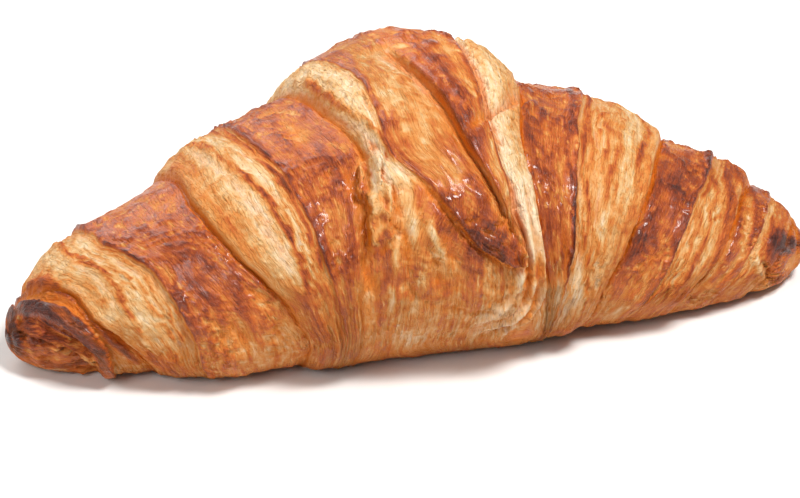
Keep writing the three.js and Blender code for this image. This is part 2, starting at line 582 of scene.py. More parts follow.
BANDS: tuple[Band, ...] = (
    # Left of the crown, beside the first lip.
    Band(((-40, -35), (-8, -30.2), (17, -26.4), (39, -23.4), (70, -20.2)), 0.8, 0.24, 0.4),
    Band(((-30, -35.5), (0, -31.5), (20, -28), (40, -25), (70, -22)), 0.9, -0.16, 0.2),
    Band(((-40, -39.5), (-2, -35), (15, -32), (30, -29), (50, -26), (80, -23)), 0.6, 0.32, 0.5),
    Band(((-30, -39), (0, -36.6), (15, -34), (35, -30.8), (68, -26)), 1.0, -0.02, -0.6, 0.6),
    # Left of the tongue.
    Band(((-25, -15.4), (3, -12.4), (14, -10.5), (24, -8.5), (32, -6.6), (46, -4.6)), 0.45, 0.22, 0.6),
    Band(((-25, -16.4), (3, -13.4), (14, -11.5), (24, -9.5), (32, -7.8), (42, -6.6)), 0.6, 0.0, -0.8, 0.55),
    Band(((-40, -10.5), (3, -6.2), (20, -5.2), (38, -4.2), (53, 1.3), (66, 5.4), (80, 10)), 0.55, 0.04, 0.3),
    # The fold under the dome beside the crown.
    Band(((-2, 28), (7.5, 24.1), (22.6, 18.2), (28.5, 13.8), (40, 9)), 1.0, 0.04, -1.9, 1.2),
    Band(((-4, 30.5), (7.5, 25.9), (22.6, 20), (28.5, 15.6), (40, 10.8)), 0.8, -0.08, 0.7),
    # Fingers of torn dough below the flap, and the long folds that swing round the tongue's tip.
    # The grooves among these fingers and folds are drawn browner, as painted shade.
    Band(((60, -0.6), (70, 0.2), (78, 1.8), (86, 3.1), (97, 2.6)), 0.75, -0.52, 0.9),
    Band(((66, -1.8), (76, -0.6), (86, 0.9), (98, 1.0)), 0.5, 0.14, -0.7, 0.4),
    Band(((54, -3.4), (68, -3.0), (82, -1.6), (98, -2.0)), 0.7, -0.42, 0.7),
    Band(((60, -5.4), (74, -5.0), (98, -4.4)), 0.7, 0.08, -0.5, 0.3),
    Band(((64, -7.4), (80, -7.8), (108, -7.2)), 0.8, -0.38, 0.6),
    Band(((40, 21.4), (49, 20.4), (60, 20.4), (75, 21.6), (92, 22.4), (106, 21.2), (128, 13)), 0.6, -0.5, 1.0),
    Band(((46, 19.7), (60, 19.4), (75, 20.5), (92, 21.1), (106, 19.6), (126, 11)), 0.4, 0.14, -0.6, 0.6),
    Band(((46, 18.6), (60, 18.4), (75, 19.3), (92, 19.8), (108, 17.3), (124, 9)), 0.65, -0.5, 1.0),
    Band(((60, 17.4), (75, 18.2), (92, 18.4), (106, 16), (120, 8)), 0.4, 0.14, -0.6, 0.6),
    Band(((64, 16.6), (76, 17.2), (90, 16.8), (104, 13.6), (118, 6)), 0.65, -0.44, 1.0),
    # The next two turns on the left.
    Band(((-30, -64), (3, -61.5), (29, -57), (59, -54), (80, -51)), 1.0, -0.12, 0.2),
    Band(((-30, -67), (3, -65), (29, -60), (59, -57), (85, -54)), 0.6, 0.28, 0.5),
    Band(((-10, -66), (15, -64), (40, -60.5), (60, -58.5)), 0.7, 0.0, -0.45, 0.45),
    Band(((-70, -76.5), (-24, -74.5), (-7, -72.3), (9, -69.9), (22, -68.2), (40, -65.1), (62, -63), (82, -60.4),
          (123, -54.3)), 0.9, 0.3, 0.8),
    Band(((-35, -76), (-12, -75), (6, -72.9), (20, -71), (34, -68.2)), 1.1, -0.05, -1.6, 1.4),
    Band(((0, -73.5), (30, -70.5), (60, -66.5), (90, -60)), 0.7, -0.1, -0.5, 0.5),
    # Right of the crown, beside the first lip.
    Band(((-40, 41.5), (0, 36.4), (25, 32.3), (60, 30), (100, 28)), 0.55, 0.2, 0.2),
    Band(((-40, 43), (0, 38.2), (25, 34), (60, 31.5), (110, 30)), 0.6, -0.14, -0.15),
    Band(((-30, 44.5), (0, 40), (25, 35.8), (60, 33.4), (105, 32)), 0.6, 0.16, 0.25),
    Band(((-30, 46), (0, 42), (25, 37.8), (60, 35.2), (100, 33.6)), 0.7, -0.04, -0.3, 0.3),
    Band(((-40, 54.5), (-5, 52.6), (12, 49.6), (34, 45.2)), 0.5, 0.24, 0.25),
    Band(((-40, 56.3), (-5, 54.6), (12, 51.4), (40, 46.6)), 0.7, -0.22, 0.2),
    # The outer turns on the right.
    Band(((-20, 66), (20, 64), (50, 60), (80, 55), (110, 51)), 0.7, 0.14, 0.3),
    Band(((-10, 67.5), (30, 64.4), (60, 60.6), (100, 54.5)), 0.8, -0.12, -0.2),
    Band(((-20, 70), (30, 66.4), (60, 62.8), (95, 58)), 0.6, 0.16, 0.3),
    Band(((-20, 72.5), (30, 69.4), (60, 66.2), (105, 60)), 0.6, 0.14, 0.25),
    Band(((0, 71.2), (35, 67.8), (65, 64.2), (100, 59.5)), 0.7, -0.12, -0.15),
    Band(((-20, 75.5), (30, 72.6), (60, 69.6), (100, 64)), 0.7, 0.12, 0.25),
    Band(((0, 74), (35, 71), (65, 67.8), (95, 63.5)), 0.7, -0.12, -0.15),
    Band(((66, 70.4), (78, 71.3), (95, 72.4), (118, 74.5), (130, 75.5)), 0.7, -0.36, 0.9),
    # Painted shade and glow: this groove is drawn browner and tinted orange.
    Band(((72, 72.6), (84, 73.2), (100, 74.4), (124, 76.5)), 0.6, 0.1, -1.0, 0.6),
)

BURNT_TIP = Patch(78.6, 61, 4.8, 10.5, 0.05, 0.74)

BROWNED: tuple[Patch, ...] = (
    # Left of the crown.
    Patch(-19, 12, 8, 17, -0.1, 0.04),
    Patch(-14, 37, 3.5, 9, 0.1, 0.14),
    Patch(-20, 28, 5, 9, 0.1, 0.06),
    Patch(-44, 44, 5, 15, 0.25, 0.2),
    Patch(-38, 72, 5, 12, 0.3, 0.08),
    Patch(-55, 5, 6, 12, 0.2, 0.05),
    # Right of the crown, out to the burnt tip.
    Patch(25, 52, 3.6, 16, -0.03, 0.14),
    Patch(31, 5, 6, 16, -0.2, 0.08),
    Patch(57, 18, 5, 14, -0.35, 0.2),
    Patch(50, 50, 5, 14, -0.45, 0.18),
    Patch(42, 78, 4.5, 15, -0.3, 0.16),
    Patch(68, 0, 4, 16, -0.3, 0.08),
    BURNT_TIP,
    Patch(80.2, 58, 2.4, 8.0, 0.0, 0.16),
    Patch(22, 25, 5.5, 24, -0.1, 0.07),
    Patch(46, 28, 4.5, 22, -0.3, 0.06),
    # The flap, and low at the front.
    Patch(-8.5, 52, 2.6, 9, 0.0, 0.08),
    Patch(27, 97, 6, 12, 0.1, -0.2),
    Patch(14, 130, 9, 14, 0.1, -0.1),
    Patch(-2, 112, 3.5, 10, 0.1, -0.14),
    Patch(-9, 96, 2.6, 12, 0.1, 0.1),
    Patch(5, 104, 3.0, 7, 0.2, 0.1),
    Patch(20, 88, 3.0, 8, 0.1, 0.12),
    Patch(73.5, 92, 1.6, 6, 0.1, -0.22),
    Patch(76, 112, 3.0, 5, 0.1, 0.2),
    # The tongue, from its dark end up to its pale middle, and what lies round it.
    Patch(11, 73, 5.5, 4.0, 0.6, 0.3),
    Patch(11, 37, 2.6, 5, 0.25, 0.2),
    Patch(0.5, 15, 5.5, 22, 0.22, -0.34),
    Patch(7.4, 2, 2.4, 18, 0.14, 0.12),
    Patch(12.8, 8, 1.8, 18, 0.06, -0.2),
    Patch(13, 55, 3.0, 8, 0.2, -0.14),
    Patch(17.5, 48, 3.6, 22, 0.0, -0.16),
    Patch(17, 95, 4.5, 9, -0.3, -0.16),
    Patch(-7, 54, 5, 10, 0.1, -0.1),
    Patch(5, 112, 12, 7, 0.0, -0.12),
    Patch(32, 100, 8, 12, 0.0, -0.12),
    Patch(68, 60, 8, 20, -0.3, -0.06),
)


@dataclass
class Crust:
    """The croissant's whole skin: one closed grid whose rows follow the wraps' lips and feet.

    Attributes:
        spindle: The body under the wraps.
        wraps: The wraps, from the outermost in.
        rows: Rows of the grid from tip to tip.
        columns: Columns of the grid round the roll.
        seed: Seed of the noises on the skin.
        gap: Least distance between two lines, in millimetres.
        tip_room: Least distance between a tip and the nearest line, in millimetres.
    """

    spindle: Spindle = field(default_factory=Spindle)
    wraps: tuple[Wrap, ...] = WRAPS
    rows: int = 440
    columns: int = 226
    seed: int = 7
    gap: float = 0.55
    tip_room: float = 1.5

    def angles(self) -> Array:
        """Angles of the columns: close together where the skin shows, wide apart under the base.

        Returns:
            Angles from the first to just short of the last, which is the first again.
        """
        fine = np.linspace(FIRST_ANGLE, LAST_ANGLE, 2001)
        shown = smoothstep(0.0, 16.0, 132.0 - np.abs(fine)) * (np.abs(fine) < 180)
        weight = 0.3 + 0.7 * shown
        total = np.concatenate([[0.0], np.cumsum((weight[1:] + weight[:-1]) / 2)])
        wanted = np.linspace(0.0, total[-1], self.columns, endpoint=False)
        return np.interp(wanted, total, fine)

    def lines(self) -> list[Line]:
        """Lines that the grid's rows follow.

        Returns:
            Feet and lips in order from the left tip to the right one, with the tongue's fold in the middle.
        """
        left = [line for wrap in reversed(self.wraps) for line in (wrap.left.foot, wrap.left.lip)]
        right = [line for wrap in self.wraps for line in (wrap.right.lip, wrap.right.foot)]
        return [*left, TONGUE_FOLD, *right]

    def lengths(self, angle: Array) -> Array:
        """Lengths of the grid's points: each zone between two lines gets rows by its width.

        Args:
            angle: Angles of the columns.

        Returns:
            Lengths, rows by columns, with both tips as the first and last row.
        """
        tips = self.spindle
        gap, room = self.gap, self.tip_room
        lines = np.array([line.at(angle) for line in self.lines()])
        count = len(lines)
        order = np.arange(count)[:, None]
        lines = np.maximum.accumulate(np.maximum(lines, tips.left_tip + room) - gap * order, axis=0) + gap * order
        lines = np.minimum(lines, tips.right_tip - room - gap * (count - 1 - order))
        lines = np.vstack([np.full_like(angle, tips.left_tip), lines, np.full_like(angle, tips.right_tip)])
        spans = np.diff(lines, axis=0)
        widths = 0.45 * spans.mean(axis=1) + 0.55 * spans.max(axis=1) + 1.6
        edges = np.round(np.concatenate([[0.0], np.cumsum(widths)]) / widths.sum() * self.rows).astype(int)
        zones = []
        for zone, (first, last) in enumerate(zip(edges[:-1], edges[1:])):
            t = np.arange(last - first) / (last - first)
            if zone == 0:
                t = t**2
            elif zone == count:
                t = 1.0 - (1.0 - t) ** 2
            else:
                t = t - 0.55 * np.sin(2 * math.pi * t) / (2 * math.pi)
            zones.append(lines[zone] + (lines[zone + 1] - lines[zone]) * t[:, None])
        return np.vstack([*zones, lines[-1:]])

    def build(self) -> "Skin":
        """Works out the grid, its relief and its baking.

        Returns:
            The finished skin, in millimetres.
        """
        columns = self.angles()
        length = self.lengths(columns)
        angle = np.broadcast_to(columns, length.shape)
        skin = Skin(length, angle, self.spindle, self.wraps, self.seed)
        skin.lay_wraps()
        skin.lay_bands()
        skin.shape_tongue()
        skin.shape_centre()
        skin.roughen()
        skin.wind_tips()
        skin.bake()
        return skin


@dataclass(frozen=True)
class Heights:
    """How far each feature of the dough stands proud of its surroundings or lies in them, in millimetres."""

    cliff: float = 0.8  # drop just past a lip
    lip_roll: float = 0.3  # bead along a lip
    sheet_span: float = 1.35  # from one sheet of dough to the next
    sheet: float = 0.75
    heel: float = 0.45  # bulge above a foot
    belly: float = 0.5
    groove: float = 1.0  # line under a foot
    heel_push: float = 0.7  # how far a heel hangs over its groove
    lip_push: float = 0.35  # how far a lip hangs over its riser
    valley: float = 2.3  # fold in the tongue
    ridge: float = 1.2
    ridge_push: float = 0.9
    lip_gap: float = 1.8  # between the tongue's right edge and the dough beside it
    tongue_end: float = 1.1
    crumple: float = 1.5
    under_tongue: float = 0.8
    dome: float = 1.7  # blister of dough right of the crown
    flap: float = 1.7
    flap_wrinkle: float = 1.2
    flap_push: float = 0.7
    flap_shade: float = 0.9
    beside_flap: float = 0.7
    swell: float = 0.6
    terrace: float = 0.24
    fine_terrace: float = 0.16
    stretch_mark: float = 0.12
    low_fold: float = 0.45
    pit: float = 0.5
    crumb: float = 0.3
    blister: float = 0.55
    spiral: float = 1.3
    strap: float = 1.3
    strap_crown: float = 0.5
    strap_shade: float = 0.7
    snail_line: float = 0.9
    snail_depth: float = 1.0
    snail_lump: float = 1.1
    burnt: float = 0.5


@dataclass(frozen=True)
class Oven:
    """How brown each kind of place bakes, from 0 (raw) to 1 (burnt), and how far features change that."""

    tread: float = 0.63
    riser: float = 0.42
    belly: float = -0.46
    flank: float = 0.43
    underside: float = 0.52
    proud: float = 0.2
    sheet: float = 0.17
    # painted shade: how much darker the groove under a foot is drawn
    groove: float = 0.26
    lip_line: float = 0.15
    hard: float = 0.75  # from here on the dough browns more slowly
    palest: float = 0.07
    mottle: float = 0.11
    flank_mottle: float = 0.08
    riser_mottle: float = 0.04
    spots: float = 0.05
    low_fold: float = -0.2


class Skin:
    """The skin's fields on the grid: height, shift along the roll, baking, crumb and gloss."""

    def __init__(
        self, length: Array, angle: Array, spindle: Spindle, wraps: tuple[Wrap, ...], seed: int
    ) -> None:
        """Lays out empty fields.

        Args:
            length: Lengths of the grid's points.
            angle: Their angles.
            spindle: The body under the wraps.
            wraps: The wraps, from the outermost in.
            seed: Seed of the noises.
        """
        self.heights, self.oven = Heights(), Oven()
        self.length, self.angle = length, angle
        self.spindle, self.wraps = spindle, wraps
        self.arc = angle * ARC_PER_DEGREE
        self.lay = self.lay_of_dough()
        self.noises = [Noise(seed + i) for i in range(12)]
        zero = np.zeros_like(length)
        self.dough, self.relief, self.shift = zero.copy(), zero.copy(), zero.copy()
        self.riser, self.crumb, self.pale = zero.copy(), zero.copy(), zero.copy()
        self.painted, self.glow = zero.copy(), zero.copy()
        self.baked, self.gloss, self.streak = zero.copy(), zero.copy(), zero.copy()
        self.washed_tip, self.dull = zero.copy(), zero.copy()
        self.point = spindle.place(length, angle, zero)
        self.tongue = wraps[0].within_lip(length, angle)
        self.underside = smoothstep(118.0, 138.0, np.abs(np.where(angle > 180, 180.0, angle)))

    def lay_of_dough(self) -> Array:
        """Where each place lies across the dough's fibres.

        Fibres run along the wraps, so a row keeps the length it has at one angle. Low at the front, where
        the rows bend round the tongue, they run straight down instead.

        Returns:
            Distance across the fibres, in millimetres.
        """
        length, angle = self.length, self.angle
        reference = np.argmin(np.abs(angle[0] - 40.0))
        followed = np.broadcast_to(length[:, reference : reference + 1], length.shape)
        centre = smoothstep(-17, -10, length) * (1 - smoothstep(17, 24, length))
        centre = centre * smoothstep(46, 80, angle) * (1 - smoothstep(125, 145, angle))
        return mix(followed, length, centre)

    def along_wrap(self, across: float, along: float, number: int) -> Array:
        """Noise drawn out along the wraps, `across` by `along` millimetres."""
        return self.noises[number].at(stacked(self.lay / across, self.arc / along, 0.37 * number))

    def flank(self, front: tuple[float, float], back: tuple[float, float]) -> Array:
        """Share of the low flanks: rises between two angles at the front and between two at the back."""
        return np.clip(smoothstep(*front, self.angle) + smoothstep(*back, -self.angle), 0, 1)

    def lay_wraps(self) -> None:
        """Lays every wrap, from the outermost in, and notes where the bare dough then lies."""
        for number, wrap in enumerate(self.wraps):
            self.lay_wrap(number, wrap)
        self.point = self.spindle.place(self.length, self.angle, self.dough)

    def lay_wrap(self, number: int, wrap: Wrap) -> None:
        """Steps one wrap down from lip to foot.

        A wrap's height falls along the puffed step. Just past the lip it drops by a sharp little cliff and
        recovers under it. Rounded ridges, one for each sheet of dough, follow the lip and run into one
        another. Near the foot the heel bulges over a narrow groove, which is painted darker as shade and,
        like the shade just under the lip, gets a painted orange glow. The wrap with the tongue melts into
        the dough below its end.

        Args:
            number: Its place among the wraps, from the outermost in.
            wrap: The wrap.
        """
        high, oven, angle = self.heights, self.oven, self.angle
        lip, foot = wrap.within_lip(self.length, angle), wrap.within_foot(self.length, angle)
        past = -lip
        x = past / np.maximum(foot - lip, 1e-6)
        self.dough += wrap.thickness * step_down(x)
        on_left = self.length < CENTRE
        side = np.where(on_left, Side.LEFT.value, Side.RIGHT.value)
        pale, belly_at, plump, sheets, melted = (
            np.where(on_left, getattr(wrap.left, name), getattr(wrap.right, name))
            for name in ("pale", "belly", "plump", "sheets", "melted")
        )
        small = min(1.0, wrap.thickness / 4.0)
        tongued = float(wrap.lip_end is not None)
        below = tongued * smoothstep(76, 92, angle)
        pale = pale * (1 - 0.7 * tongued * smoothstep(66, 88, angle)) * (1 - below)
        fades = tongued * (1 - smoothstep(8.0, 16.0, self.length))
        shown = (1.0 - 0.95 * smoothstep(42, 62, angle) * fades) * (1 - 0.35 * smoothstep(85, 115, angle))
        shown = shown * (1 - 0.7 * below) * (1 - melted * smoothstep(58, 88, angle))
        gentle = (1.0 - 0.65 * fades) * shown
        soft = 1.0 - 0.6 * tongued * on_left
        riser = smoothstep(0.0, 0.35, past) * smoothstep(-0.1, 0.5, foot)
        vary = 0.75 + 0.5 * self.along_wrap(7.0, 12.0, number)

        cliff = soft * smoothstep(0.0, 0.45, past) * (1 - smoothstep(0.2, 0.55, x))
        self.relief -= high.cliff * small * vary * cliff * riser * shown
        self.relief += high.lip_roll * small * np.where(lip > 0, bell(lip, 1.2), bell(lip, 0.25)) * vary
        edge_line = bell(past - 0.05, 0.3) * smoothstep(-0.1, 0.5, foot) * shown
        self.painted += soft * (oven.lip_line + 0.3 * self.along_wrap(3.0, 7.0, 9)) * edge_line

        phase = past / high.sheet_span
        phase = phase + 1.2 * self.along_wrap(5.0, 16.0, number + 4) + 0.3 * self.along_wrap(2.0, 5.0, 8)
        part = phase - np.floor(phase)
        ridge = smoothstep(0.0, 0.75, part) * (1 - smoothstep(0.82, 1.0, part)) - 0.45
        patchy = np.clip(0.7 + 0.9 * self.along_wrap(2.5, 9.0, number + 2), 0, 1.3)
        fading = 1 - smoothstep(belly_at - plump * 0.6, belly_at + plump * 0.6, x) * pale
        layered = riser * fading * smoothstep(0.2, 0.7, past) * sheets * (1 - below) * patchy * shown
        self.relief += high.sheet * small * ridge * layered
        self.painted += oven.sheet * ridge * layered

        belly = bell(x - belly_at, plump) * riser
        self.relief += high.heel * small * bell(foot - 2.4, 1.8) * riser * shown
        self.relief += high.belly * small * belly * pale
        groove = bell(foot - 0.1, 0.6) * (0.7 + 0.5 * vary) * gentle
        self.relief -= high.groove * small * groove
        # Painted shade: the groove under the foot is drawn darker, as shade falls in it.
        self.painted += oven.groove * groove
        push = high.heel_push * bell(foot - 1.2, 0.8) + high.lip_push * bell(lip, 0.7)
        self.shift += side * small * push * gentle

        self.riser = np.maximum(self.riser, riser * shown)
        crumbly = smoothstep(0.1, 0.6, belly) * pale * shown * (1 - tongued * smoothstep(55, 78, angle))
        self.crumb = np.maximum(self.crumb, crumbly)
        self.pale = np.maximum(self.pale, belly * pale * shown)
        # Painted glow: orange tint standing in for warm light in the foot's groove and in the shade under the lip.
        self.glow += 0.5 * bell(foot - 0.6, 1.3) * gentle + 0.3 * bell(past - 0.9, 0.6) * riser * shown

    def lay_bands(self) -> None:
        """Lays the thin folds and sheets that stand out on the roll."""
        for number, band in enumerate(BANDS):
            share = band.on(self.length, self.angle, number)
            self.painted += band.baked * share
            self.relief += band.raised * share
            # Painted glow: orange tint standing in for warm light in the bands' folds.
            self.glow += band.glow * share

    def shape_tongue(self) -> None:
        """Folds the tongue: a deep valley down its middle, and a ridge that leans over it from the right."""
        high, length, angle = self.heights, self.length, self.angle
        left, fold, right = (
            line.at(angle[0])[None, :] for line in (self.wraps[0].left.lip, TONGUE_FOLD, self.wraps[0].right.lip)
        )
        past = length - fold
        shown = smoothstep(-18, 8, angle) * (1 - smoothstep(58, 74, angle))
        inside = smoothstep(-0.5, 1.0, length - left) * smoothstep(-0.5, 1.0, right - length)
        valley = np.where(past < 0, bell(past, 2.4), bell(past, 0.7)) * shown
        self.relief -= high.valley * valley
        x = np.clip(past / np.maximum(right - fold, 1.0), 0, 1)
        ridge = np.where(past > 0, np.sin(math.pi * x**0.7), 0.0) * shown
        self.relief += high.ridge * ridge * inside
        self.shift -= high.ridge_push * bell(past - 1.2, 1.1) * shown
        # Painted glow: orange tint in the valley under the ridge, standing in for the warm light in its shade.
        self.glow += 1.4 * np.where(past < 0, bell(past, 2.2), bell(past, 0.7)) * shown
        lip_gap = bell(length - right - 1.2, 1.2) * smoothstep(-60, -15, angle) * (1 - smoothstep(32, 50, angle))
        self.relief -= high.lip_gap * lip_gap
        self.shape_tongue_end()

    def shape_tongue_end(self) -> None:
        """Crumples the tongue's dark end, which stands proud of a groove round it."""
        high, angle, end = self.heights, self.angle, self.tongue
        tip = smoothstep(48, 62, angle) * smoothstep(-0.25, 0.35, end) * (1 - smoothstep(84, 88, angle))
        crumple = self.noises[3].layered(stacked(self.length / 3.2, self.arc / 1.3, 3.0), 3)
        crumpled = tip * smoothstep(60, 69, angle)
        self.relief += high.tongue_end * tip + high.crumple * crumpled * crumple
        # Painted light and shade: besides a little more brown, crumple crests are paler and troughs darker and glowing.
        self.painted += crumpled * (0.08 - 0.4 * np.clip(crumple, -0.6, 1.0))
        self.glow += 0.5 * crumpled * np.clip(-crumple, 0, 1)
        under = bell(end + 0.7, 0.8) * smoothstep(46, 58, angle) * (1 - smoothstep(86, 92, angle))
        self.relief -= high.under_tongue * under
        # Painted shade and glow: the groove round the tongue's end is drawn darker and tinted orange.
        self.painted += 0.12 * under
        self.glow += 0.6 * under

    def shape_centre(self) -> None:
        """Shapes what lies round the tongue: the dome on its right, the torn flap and the folds below.

        Round the tongue's tip the dough hangs in U-shaped folds: waves of the distance from the tip.
        """
        length, angle, arc = self.length, self.angle, self.arc
        self.relief += self.heights.dome * Patch(20, -4, 5.5, 11, -0.05, 1).on(length, angle)
        self.tear_flap()
        down = np.maximum((angle - 78) * ARC_PER_DEGREE, 0)
        ring = np.hypot((length - 10) * 0.8, down)
        folded = smoothstep(2.5, 5.0, ring) * (1 - smoothstep(14, 20, ring)) * smoothstep(56, 72, angle)
        folded *= smoothstep(0.2, 1.0, -self.tongue)
        turn = np.arctan2(down, length - 10)
        wave = self.noises[7].at(stacked(ring / 1.5, turn * 1.1, (angle - 78) / 40.0))
        wave = wave + 0.3 * self.noises[9].at(stacked(ring / 0.8, turn * 2.6, angle / 20.0))
        broken = np.clip(0.8 + 0.6 * self.noises[8].at(stacked(length / 5.0, arc / 5.0, 7.0)), 0, 1.2)
        folds = folded * wave * broken
        self.relief += folds
        # Painted light and shade: the folds are paler on their crests, darker in their troughs, with a painted glow
        # there.
        self.painted -= 0.4 * folds
        self.glow += 0.6 * np.clip(-folds, 0, 1)

    def tear_flap(self) -> None:
        """Tears a flap of dough open left of the tongue: a curled pale sheet with a ragged edge."""
        high, length, angle, arc = self.heights, self.length, self.angle, self.arc
        ragged = self.noises[5].layered(stacked(length / 4.0, arc / 4.0, 1.0), 3)
        middle = -8.7 - 0.035 * np.clip(angle - 55, 0, 20) - 0.9 * bell(angle - 44, 5.0)
        across = (length - middle) / np.maximum(1.9 + ragged, 0.6)
        reach = smoothstep(35.5, 37.5, angle + 3.0 * ragged) * (1 - smoothstep(66, 69, angle + 4.0 * ragged))
        sheet = (1 - smoothstep(0.8, 1.0, np.abs(across))) * reach
        wrinkles = self.noises[6].layered(stacked((length - arc * 0.3) / 1.3, (arc + length * 0.4) / 3.5, 2.0), 3)
        curled = 0.8 * bell(across + 0.75, 0.3) + 0.3 * bell(across - 0.7, 0.3)
        self.relief += sheet * (high.flap + curled + high.flap_wrinkle * wrinkles)
        self.shift -= high.flap_push * sheet * bell(across + 0.8, 0.45)
        # Painted light and shade: curled edges paler, partly their own cream; wrinkle troughs darker, crests paler.
        self.painted += sheet * (-0.22 - 0.12 * curled + 0.3 * np.clip(-wrinkles, -0.5, 1))
        shade = (bell(across + 1.3, 0.3) + 0.7 * bell(across - 1.3, 0.35)) * reach
        self.relief -= high.flap_shade * shade
        self.painted += 0.2 * shade
        beside = Patch(-4.2, 58, 2.2, 7, 0.1, 1).on(length, angle)
        self.relief += high.beside_flap * beside * wrinkles
        # The lobe is pale dough; its wrinkles are painted paler on crests and darker in troughs, as light and shade.
        self.painted -= beside * (0.12 + 0.2 * wrinkles)

    def roughen(self) -> None:
        """Adds the dough's own unevenness: swells, torn sheets, stretch marks, blisters and crumb.

        The sheets are terraces of a noise drawn out along the wraps, so that each has a steep, thin edge.
        """
        high, point = self.heights, self.point
        tread = 1 - self.riser
        low = self.flank((45, 95), (75, 110))
        self.relief += high.swell * self.noises[0].layered(point / 16.0, 3)
        across = self.along_wrap(3.4, 17.0, 1) + 0.35 * self.along_wrap(1.3, 6.0, 2)
        across = across + 0.4 * self.noises[3].at(point / 7.0)
        steps, edges = terraced(across * 2.6)
        strength = (0.55 + 0.45 * low) * (1 - 0.7 * self.crumb)
        self.relief += high.terrace * strength * steps
        self.painted += (0.05 - 0.12 * tread) * strength * edges
        steps, edges = terraced(1.6 * self.along_wrap(1.5, 8.0, 4) + 0.8 * self.noises[5].at(point / 2.5))
        self.relief += high.fine_terrace * (1 - 0.8 * self.crumb) * steps
        self.painted += (0.04 - 0.09 * tread) * edges
        bare = self.noises[8].layered(stacked(self.lay / 1.1, self.arc / 3.2, 5.0), 2)
        self.painted -= 0.2 * tread * smoothstep(0.34, 0.6, bare)
        self.relief += high.stretch_mark * self.along_wrap(0.8, 9.0, 3)
        self.relief += high.low_fold * low * self.along_wrap(1.7, 20.0, 3)

        nearest, second = self.noises[4].bubbles(point / np.array([1.9, 2.3, 2.3]))
        pits = smoothstep(0.0, 0.4, second - nearest)
        grain = self.noises[5].layered(point / 2.6, 3)
        self.relief += self.crumb * (high.pit * (pits - 0.7) + high.crumb * grain)
        # Painted shade: the crumb is drawn darker where it dips between its bubbles.
        self.painted += 0.12 * self.crumb * (0.6 - pits)
        where = 0.5 + 0.5 * self.noises[6].layered(point / 9.0, 2)
        blistered = tread * smoothstep(0.4, 0.65, where)
        ridged = 1 - np.abs(self.noises[7].layered(stacked(self.lay / 1.6, self.arc / 3.6, 1.1), 2))
        self.relief += blistered * high.blister * smoothstep(0.7, 0.98, ridged)

    def wind_tips(self) -> None:
        """Winds a strap round the left tip and a spiral groove into each, and burns the right one.

        The groove is where the distance from the tip's middle, less one pitch for each turn, is whole.
        """
        high = self.heights
        dome = self.spindle.dome(self.length)
        near = 1 - smoothstep(0.6, 0.92, dome)
        spiral = dome * 9.5 / 2.9 - self.angle / 360.0 + 0.12 * self.noises[8].at(self.point / 4.0)
        groove = bell((spiral + 0.5) % 1.0 - 0.5, 0.17)
        self.relief -= high.spiral * near * groove * smoothstep(0.1, 0.3, dome)
        # Painted glow: orange tint in the shade of the spiral groove.
        self.glow += 0.4 * near * groove

        inner, outer = (line.at(self.angle[0])[None, :] for line in (STRAP_INNER, STRAP_OUTER))
        across = (self.length - inner) / np.maximum(outer - inner, 1.0)
        strap = smoothstep(-0.06, 0.08, across) * (1 - smoothstep(0.86, 1.08, across))
        face = 1 - smoothstep(-0.1, 0.02, across)
        lines = self.noises[9].layered(stacked(self.length / 0.9, self.arc / 6.0, 2.0), 2)
        lumps = self.noises[7].layered(self.point / 3.0, 3)
        self.relief += strap * (high.strap + high.strap_crown * np.sin(math.pi * np.clip(across, 0, 1)))
        self.relief += face * (high.snail_line * lines - high.snail_depth + high.snail_lump * lumps)
        self.relief -= high.strap_shade * bell(across - 1.15, 0.16)
        # Painted shade: besides its own brown, the face is drawn darker in the hollows among its lines and lumps.
        self.painted += strap * (0.29 + 0.06 * lines) + face * (0.3 - 0.3 * lines - 0.35 * lumps)
        # Painted shade: the face darkens towards its far left edge, where the end of the roll lies in shadow.
        self.painted += 0.3 * face * (1 - smoothstep(-77.6, -76.2, self.length))

        burnt = BURNT_TIP.on(self.length, self.angle)
        charred = np.clip(1.3 * burnt, 0, 1)
        self.relief += burnt * (high.burnt + self.noises[3].layered(self.point / 2.2, 2))
        self.glow *= (1 - 0.85 * face) * (1 - 0.85 * charred)
        self.dull = np.maximum(face, charred)
        self.washed_tip = np.maximum(strap, 0.4 * charred)

    def bake(self) -> None:
        """Works out how brown each place is, how it glows and how it shines.

        Treads are browned and glossy, risers pale from lip to belly. What stands proud of its surroundings
        browns more, and the flanks below lose their contrast. What lies deep, and the low flanks, get a
        painted orange glow that stands in for warm light in their shade.
        """
        oven = self.oven
        rows, columns = 5.1, 2.9
        height = self.dough + self.relief
        proud = height - blurred(height, rows, columns)
        deep = blurred(height, rows * 1.3, columns * 1.3) - height
        mottle = self.noises[10].layered(self.point / 8.0, 3)
        spots = self.noises[11].layered(self.point / 2.4, 2)
        low = self.flank((72, 108), (95, 120))
        tread = oven.tread + oven.mottle * mottle + oven.spots * spots
        riser = oven.riser + oven.belly * self.pale + oven.riser_mottle * mottle
        baked = mix(mix(tread, riser, self.riser), oven.flank + oven.flank_mottle * mottle, 0.55 * low)
        for patch in BROWNED:
            baked = baked + patch.amount * patch.on(self.length, self.angle) * (0.9 + 0.35 * spots)
        baked = baked + self.painted + oven.proud * np.clip(proud / 0.5, -0.7, 1)
        baked = baked + 0.07 * self.along_wrap(0.9, 14.0, 2) + 0.06 * self.along_wrap(2.2, 22.0, 5)
        baked = baked + oven.low_fold * low * self.along_wrap(1.7, 20.0, 3)
        baked = np.where(baked > oven.hard, oven.hard + 0.6 * (baked - oven.hard), baked)
        baked = np.maximum(baked, oven.palest + 0.3 * baked)
        self.baked = np.clip(mix(baked, oven.underside, self.underside), 0, 1)
